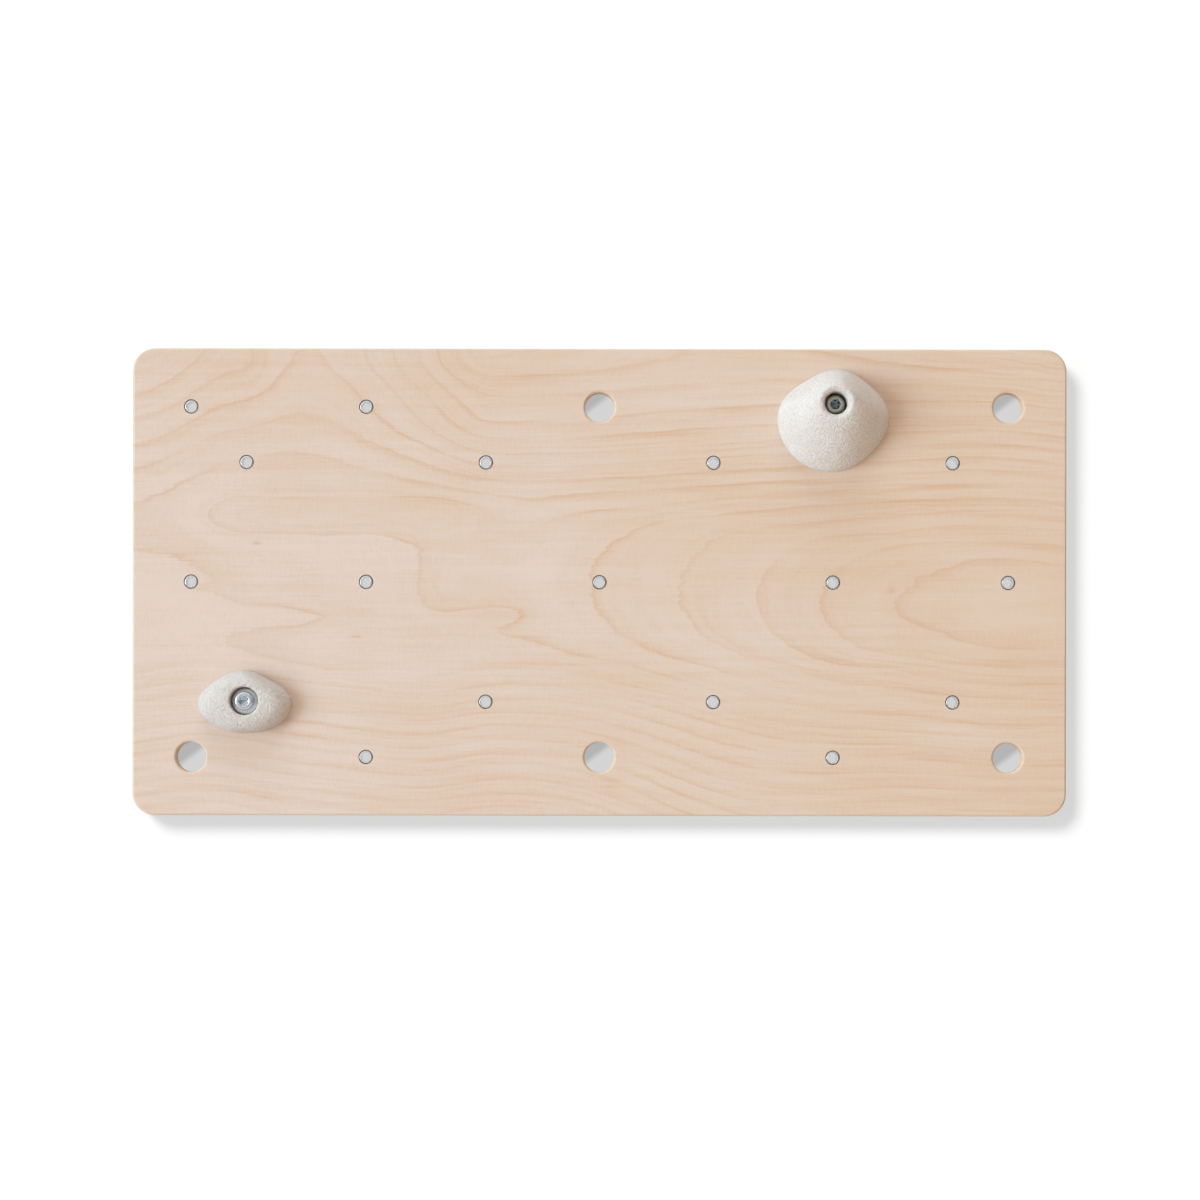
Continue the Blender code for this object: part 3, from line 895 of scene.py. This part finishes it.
def hold_mesh(hold, settings):
    bm = bmesh.new()
    points, skin_rows = hold_rings(hold, settings)
    rings = add_rings(bm, points)
    chain(bm, [*rings, rings[0]])
    bmesh.ops.recalc_face_normals(bm, faces=bm.faces)
    bm.normal_update()
    low, high = (corner - axis_of(hold.node + "_bolt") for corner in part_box(hold.node))
    for ring in rings[1:skin_rows]:
        for vert in ring:
            place = vert.co + vert.normal * skin_lift(hold, settings, vert.co)
            vert.co = [min(max(value, least), most) for value, least, most in zip(place, low, high)]
    return bm


def make_holds(settings):
    for hold, name in zip(HOLDS, ("cone_hold", "lens_hold")):
        # Each hold's resin is scaled by its tone; the small hold's darker copy is painted shade
        finish = resin_finish(hold.node + "_resin", settings.holds, hold.tone)
        piece = add_piece(name, hold_mesh(hold, settings.holds), finish, axis_of(hold.node + "_bolt"), 60)
        settle(piece, "turning_" + hold.node, hold.node)


def make_washers(settings):
    """Seat washers with stamped, slightly rounded edges."""
    nuts = settings.nuts
    # The washers' lower sides are painted brighter: a painted highlight
    finish = plated_finish("washer_plate", nuts.bore, nuts.roughness, (0.0, nuts.bore), nuts.tarnish, 1.0)
    for hold in HOLDS:
        node = hold.node + "_washer"
        low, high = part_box(node)
        inner = SHANK_RADIUS + 0.4 * MM
        edge = 0.3 * MM
        outer = hold.recess_radius - 0.7 * MM
        profile = [(inner, high.y), (inner, low.y + edge), (inner + edge, low.y)]
        profile += arc((outer - edge, low.y + edge), edge, -90, 0, 4)
        profile += arc((outer - edge, high.y - edge), edge, 0, 90, 4)
        bm = bmesh.new()
        rings = add_rings(bm, circles(profile, even_degrees(96)))
        chain(bm, [*rings, rings[0]])
        piece = add_piece(hold.node + "_seat_washer", bm, finish, axis_of(node))
        settle(piece, "turning_" + hold.node, node)


def hex_radius(degrees):
    """Distance from the axis to the side of the hex socket."""
    side = TURN / SOCKET_SIDES
    return SOCKET_FLATS / 2 / math.cos(math.radians(degrees % side - side / 2))


def screw_mesh(hold, settings):
    """A screw, in rings from the bottom of its socket out over the knurled head and down to the tip."""
    degrees = even_degrees(settings.knurls * KNURL_POINTS)
    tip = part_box(hold.node + "_bolt")[1].y
    seat = FRONT_Y - hold.seat_height - WASHER_THICKNESS
    head = seat - HEAD_HEIGHT
    socket_end = head + SOCKET_DEPTH
    mouth = SOCKET_FLATS / 2 / math.cos(math.pi / SOCKET_SIDES) + 0.12 * MM
    rings = circles([(SOCKET_FLATS / 2 * 0.97, socket_end + 0.15 * MM)], degrees)
    for y in (socket_end, head + 0.35 * MM):
        rings.append([around_y(hex_radius(angle), angle, y) for angle in degrees])
    rings += circles([(mouth, head), (mouth + 0.25 * MM, head)], degrees)
    outer, edge = settings.head_radius, settings.head_round
    rings += circles(arc((outer - edge, head + edge), edge, -90, -12, 5), degrees)
    ridge = [(index % KNURL_POINTS == 0) * settings.knurl_depth for index in range(len(degrees))]
    knurl_start, knurl_end = head + edge + 0.3 * MM, seat - 0.7 * MM
    for part in range(5):
        y = knurl_start + (knurl_end - knurl_start) * part / 4
        full = 1.0 if 0 < part < 4 else 0.3
        rings.append([around_y(outer - cut * full, angle, y) for cut, angle in zip(ridge, degrees)])
    rings += circles(arc((outer - 0.3 * MM, seat - 0.3 * MM), 0.3 * MM, 0, 90, 3), degrees)
    rings += circles([(SHANK_RADIUS, seat), (SHANK_RADIUS, FRONT_Y), (CORE_RADIUS, FRONT_Y)], degrees)
    chamfer = 0.9 * MM
    # Rows of thread behind the T-nut, which only the large hold's screw reaches
    thread_start, thread_end = NUT_HIGH.y + GAP, tip - chamfer
    rows = round((thread_end - thread_start) / THREAD_PITCH * 10)
    rings += circles([(CORE_RADIUS, min(thread_start, thread_end) - GAP)], degrees)
    for row in range(rows + 1):
        y = thread_start + (thread_end - thread_start) * row / rows
        crest = 0.85 * MM * ramp(tip - y, chamfer * 0.8, chamfer * 1.6)
        rings.append([around_y(CORE_RADIUS + crest * thread_height(a, y), a, y) for a in degrees])
    rings += circles([(CORE_RADIUS, tip - chamfer * 0.7), (CORE_RADIUS - chamfer, tip)], degrees)
    bm = bmesh.new()
    rings = add_rings(bm, rings)
    chain(bm, rings)
    socket = rings[0]
    drill_point = bm.verts.new((0.0, socket_end + 1.6 * MM, 0.0))
    for start, after in zip(socket, socket[1:] + socket[:1]):
        bm.faces.new((start, after, drill_point))
    bm.faces.new(rings[-1])
    return bm


def make_screws(settings):
    """Socket head cap screws with a knurled head, a broached socket and a thread where it shows."""
    nuts, screws = settings.nuts, settings.screws
    # The large screw's darker steel is painted shade of its deep recess
    dull = plated_finish("recess_shaded_steel", screws.steel, screws.roughness, (4.2, screws.socket_shade))
    # Both screws take a darker tone inside radius 4.2 mm: painted shade in the socket
    bright = plated_finish("zinc_plate", nuts.zinc, nuts.roughness - 0.05, (4.2, nuts.socket))
    for hold, finish in zip(HOLDS, (dull, bright)):
        node = hold.node + "_bolt"
        piece = add_piece(hold.node + "_cap_screw", screw_mesh(hold, screws), finish, axis_of(node))
        settle(piece, "turning_" + hold.node.replace("hold", "bolt"), node)


def backdrop_finish(name, reflectance, tone):
    """A white backdrop for the camera and for reflections, which the lamps' shadows fall on.

    It glows with the tone of its shaded parts, a number or a formula in the node tree, and the lamp that
    throws the board's shadow adds the rest. From behind it is clear, so that the board's back can be seen.
    """
    made, tree, shader = new_finish(name)
    tree.nodes.remove(shader)
    diffuse = add_node(tree, "BsdfDiffuse", {"Color": (reflectance, reflectance, reflectance, 1.0)})
    seen = rays(tree, "Is Camera Ray", "Is Glossy Ray", "Is Transmission Ray")
    glow = add_node(tree, "Emission", {"Strength": seen * tone(tree)})
    both = add_node(tree, "AddShader", (diffuse, glow))
    from_behind = add_node(tree, "NewGeometry", output="Backfacing")
    surface = add_node(tree, "MixShader", (from_behind, both, add_node(tree, "BsdfTransparent")))
    feed(tree, tree.nodes["Material Output"].inputs["Surface"], surface)
    return made


def rays(tree, *kinds):
    """1 for the rays of any of these kinds, and 0 for the others."""
    first, *others = (add_node(tree, "LightPath", output=kind) for kind in kinds)
    for other in others:
        first = first.math("MAXIMUM", other)
    return first


def room_colour(tree, settings):
    """White where the camera looks past the board, and a dimmer room where something reflects it.

    Reflections find the room brightest behind the board, at the upper left, and in a window at the left.
    """
    x, y, z = add_node(tree, "TexCoord", output="Generated").parts()
    window = (x * -0.81 - y * 0.59).ease(0.93, 0.98)
    mirrored = y.ease(-0.2, 0.4) * 0.45 + 0.55 - (x * 0.6 - z * 0.8) * 1.1
    mirrored = mirrored.math("MAXIMUM", 0.03) + window * 4.0
    reflection = pack(tree, mirrored, mirrored, mirrored)
    lit = blend_colours(rays(tree, "Is Glossy Ray"), tuple(settings.room_light), reflection)
    return blend_colours(rays(tree, "Is Camera Ray", "Is Transmission Ray"), lit, (1.0, 1.0, 1.0))


def painted_hole_shadow_tone(tree, settings):
    """Painted shadow for the card behind a finger hole: a glowing tone, light below a slanting edge and
    darker above it, that stands in for the board's shadow on the wall.
    """
    x, _, z = object_place(tree).parts()
    below = (x * 0.6 - z * 0.8).ease(-3.5 * MM, 3.5 * MM)
    return below * (settings.hole_light - settings.hole_shade) + settings.hole_shade


def box_corners(side, low, high):
    return (-side, low), (side, low), (side, high), (-side, high)


def add_sheet(name, finish, corners, origin=Vector()):
    """A flat backdrop piece from its corners, which the light of the studio goes through."""
    bm = bmesh.new()
    bm.faces.new([bm.verts.new(corner) for corner in corners])
    mesh = mesh_from(name, bm)
    mesh.materials.append(finish)
    sheet = add_object(name, mesh, origin)
    sheet.visible_shadow = False
    sheet.visible_diffuse = False
    return sheet


def add_lamp(name, towards, level, spread, tint=(1.0, 1.0, 1.0)):
    """A distant lamp, given by the way towards it. A white surface that faces it renders as level."""
    data = bpy.data.lights.new(name, "SUN")
    data.energy = math.pi * level
    data.angle = math.radians(spread)
    data.color = tint
    lamp = add_object(name, data)
    lamp.rotation_euler = Vector(towards).to_track_quat("Z", "Y").to_euler()
    lamp.visible_glossy = False
    return lamp


def front_direction(off, degrees):
    """The way towards a lamp that stands off the line straight out of the board, at an angle round it."""
    turn = math.radians(off)
    return around_y(math.sin(turn), degrees, -math.cos(turn))


def make_camera(settings):
    data = bpy.data.cameras.new("camera")
    data.lens = data.sensor_width * settings.camera_distance / settings.view_width
    data.shift_y = (settings.camera_drop - settings.picture_drop) / settings.view_width
    origin = (0.7 * MM, FRONT_Y - settings.camera_distance, -settings.camera_drop)
    camera = add_object("camera", data, origin)
    camera.rotation_euler = (math.pi / 2, math.radians(-0.1), 0.0)
    bpy.context.scene.camera = camera
    return camera


def make_stage(settings):
    scene = bpy.context.scene
    scene.view_settings.view_transform = "Standard"
    stage = settings.stage
    camera = make_camera(stage)

    wall_y = BACK_Y + stage.wall_gap
    floor_z = -stage.floor_drop
    side, top, depth = 3.0, 2.6, 4.0
    white = backdrop_finish("white_wall", 0.05, lambda tree: stage.wall_shade)
    wall = add_sheet("studio_wall", white, [(x, wall_y, z) for x, z in box_corners(side, floor_z, top)])
    pale = backdrop_finish("pale_floor", 0.05, lambda tree: stage.floor_shade)
    floor = add_sheet("studio_floor", pale, [(x, y, floor_z) for x, y in box_corners(side, -depth, depth)])

    # Cards behind the finger holes glow with a painted shadow of the board; no lamp lights them
    painted_hole_shadow_finish = backdrop_finish("painted_hole_shadow_card", 0.0, lambda tree: painted_hole_shadow_tone(tree, stage))
    card_y = wall_y - 0.4 * MM
    reach = settings.board.hole_radius * 1.5
    corners = [around_y(reach, degrees) for degrees in even_degrees(32)]
    for number, (place, shift) in enumerate(zip(FINGER_HOLES, SHADE_SHIFTS), 1):
        sight = Vector((place.x, FRONT_Y, place.z)) - camera.location
        seen_at = camera.location + sight * ((card_y - camera.location.y) / sight.y)
        seen_at += Vector((-0.6, 0.0, 0.8)) * shift
        add_sheet(f"painted_hole_shadow_card_{number}", painted_hole_shadow_finish, corners, seen_at)

    world = bpy.data.worlds.new("room")
    scene.world = world
    world.use_nodes = True
    tree = world.node_tree
    feed(tree, tree.nodes["Background"].inputs["Color"], room_colour(tree, stage))

    tint, level = stage.lamp_colour, stage.lamp_level
    add_lamp("key", front_direction(54, 180), level * 0.92, 34, tint)
    add_lamp("top", front_direction(70, 92), level * 0.45, 40, tint)
    add_lamp("low_left", front_direction(70, 240), level * 0.15, 40, tint)
    add_lamp("rear", (-0.5, 0.8, 0.35), level * 0.72, 57, tint)
    shadow_lamp = add_lamp("shadow_lamp", (-0.67, -1.0, 0.63), 9.0, 22.0)
    shaded = bpy.data.collections.new("shadow_lamp_targets")
    for sheet in (wall, floor):
        shaded.objects.link(sheet)
    shadow_lamp.light_linking.receiver_collection = shaded


class MakeStage(bpy.types.Operator):
    """Sets up the camera, the lamps, and a white wall and floor"""

    bl_idname = "climbing_panel.make_stage"
    bl_label = "Stage"

    def execute(self, context):
        make_stage(settings_now())
        return {"FINISHED"}


class MakeBoard(bpy.types.Operator):
    """Makes the drilled plywood board"""

    bl_idname = "climbing_panel.make_board"
    bl_label = "Board"

    def execute(self, context):
        make_board(settings_now())
        return {"FINISHED"}


class MakeNuts(bpy.types.Operator):
    """Makes the pronged T-nuts"""

    bl_idname = "climbing_panel.make_nuts"
    bl_label = "T-nuts"

    def execute(self, context):
        make_nuts(settings_now())
        return {"FINISHED"}


class MakeHolds(bpy.types.Operator):
    """Makes the two resin holds"""

    bl_idname = "climbing_panel.make_holds"
    bl_label = "Holds"

    def execute(self, context):
        make_holds(settings_now())
        return {"FINISHED"}


class MakeWashers(bpy.types.Operator):
    """Makes the washers that the screws press on"""

    bl_idname = "climbing_panel.make_washers"
    bl_label = "Washers"

    def execute(self, context):
        make_washers(settings_now())
        return {"FINISHED"}


class MakeScrews(bpy.types.Operator):
    """Makes the two socket head cap screws"""

    bl_idname = "climbing_panel.make_screws"
    bl_label = "Screws"

    def execute(self, context):
        make_screws(settings_now())
        return {"FINISHED"}


OPERATORS = (MakeStage, MakeBoard, MakeNuts, MakeHolds, MakeWashers, MakeScrews)
SETTINGS = (BoardSettings, NutSettings, HoldSettings, ScrewSettings, StageSettings, PanelSettings)


class ClimbingPanelSidebar(bpy.types.Panel):
    """Buttons for each group of pieces, and the sizes and colours that they use"""

    bl_idname = "VIEW3D_PT_climbing_panel"
    bl_label = "Climbing Wall Panel"
    bl_space_type = "VIEW_3D"
    bl_region_type = "UI"
    bl_category = "Climbing Panel"

    def draw(self, context):
        layout = self.layout
        for operator in OPERATORS:
            layout.operator(operator.bl_idname)
        for topic in ("board", "nuts", "holds", "screws", "stage"):
            settings = getattr(context.scene.climbing_panel, topic)
            box = layout.box()
            box.label(text=topic.capitalize())
            for name in settings.bl_rna.properties.keys():
                if name not in ("rna_type", "name"):
                    box.prop(settings, name)


CLASSES = (*SETTINGS, *OPERATORS, ClimbingPanelSidebar)


def register():
    for made in CLASSES:
        bpy.utils.register_class(made)
    bpy.types.Scene.climbing_panel = PointerProperty(type=PanelSettings)


def unregister():
    del bpy.types.Scene.climbing_panel
    for made in reversed(CLASSES):
        bpy.utils.unregister_class(made)


def main():
    register()
    bpy.ops.climbing_panel.make_stage()
    bpy.ops.climbing_panel.make_board()
    bpy.ops.climbing_panel.make_nuts()
    bpy.ops.climbing_panel.make_holds()
    bpy.ops.climbing_panel.make_washers()
    bpy.ops.climbing_panel.make_screws()


if __name__ == "__main__":
    main()
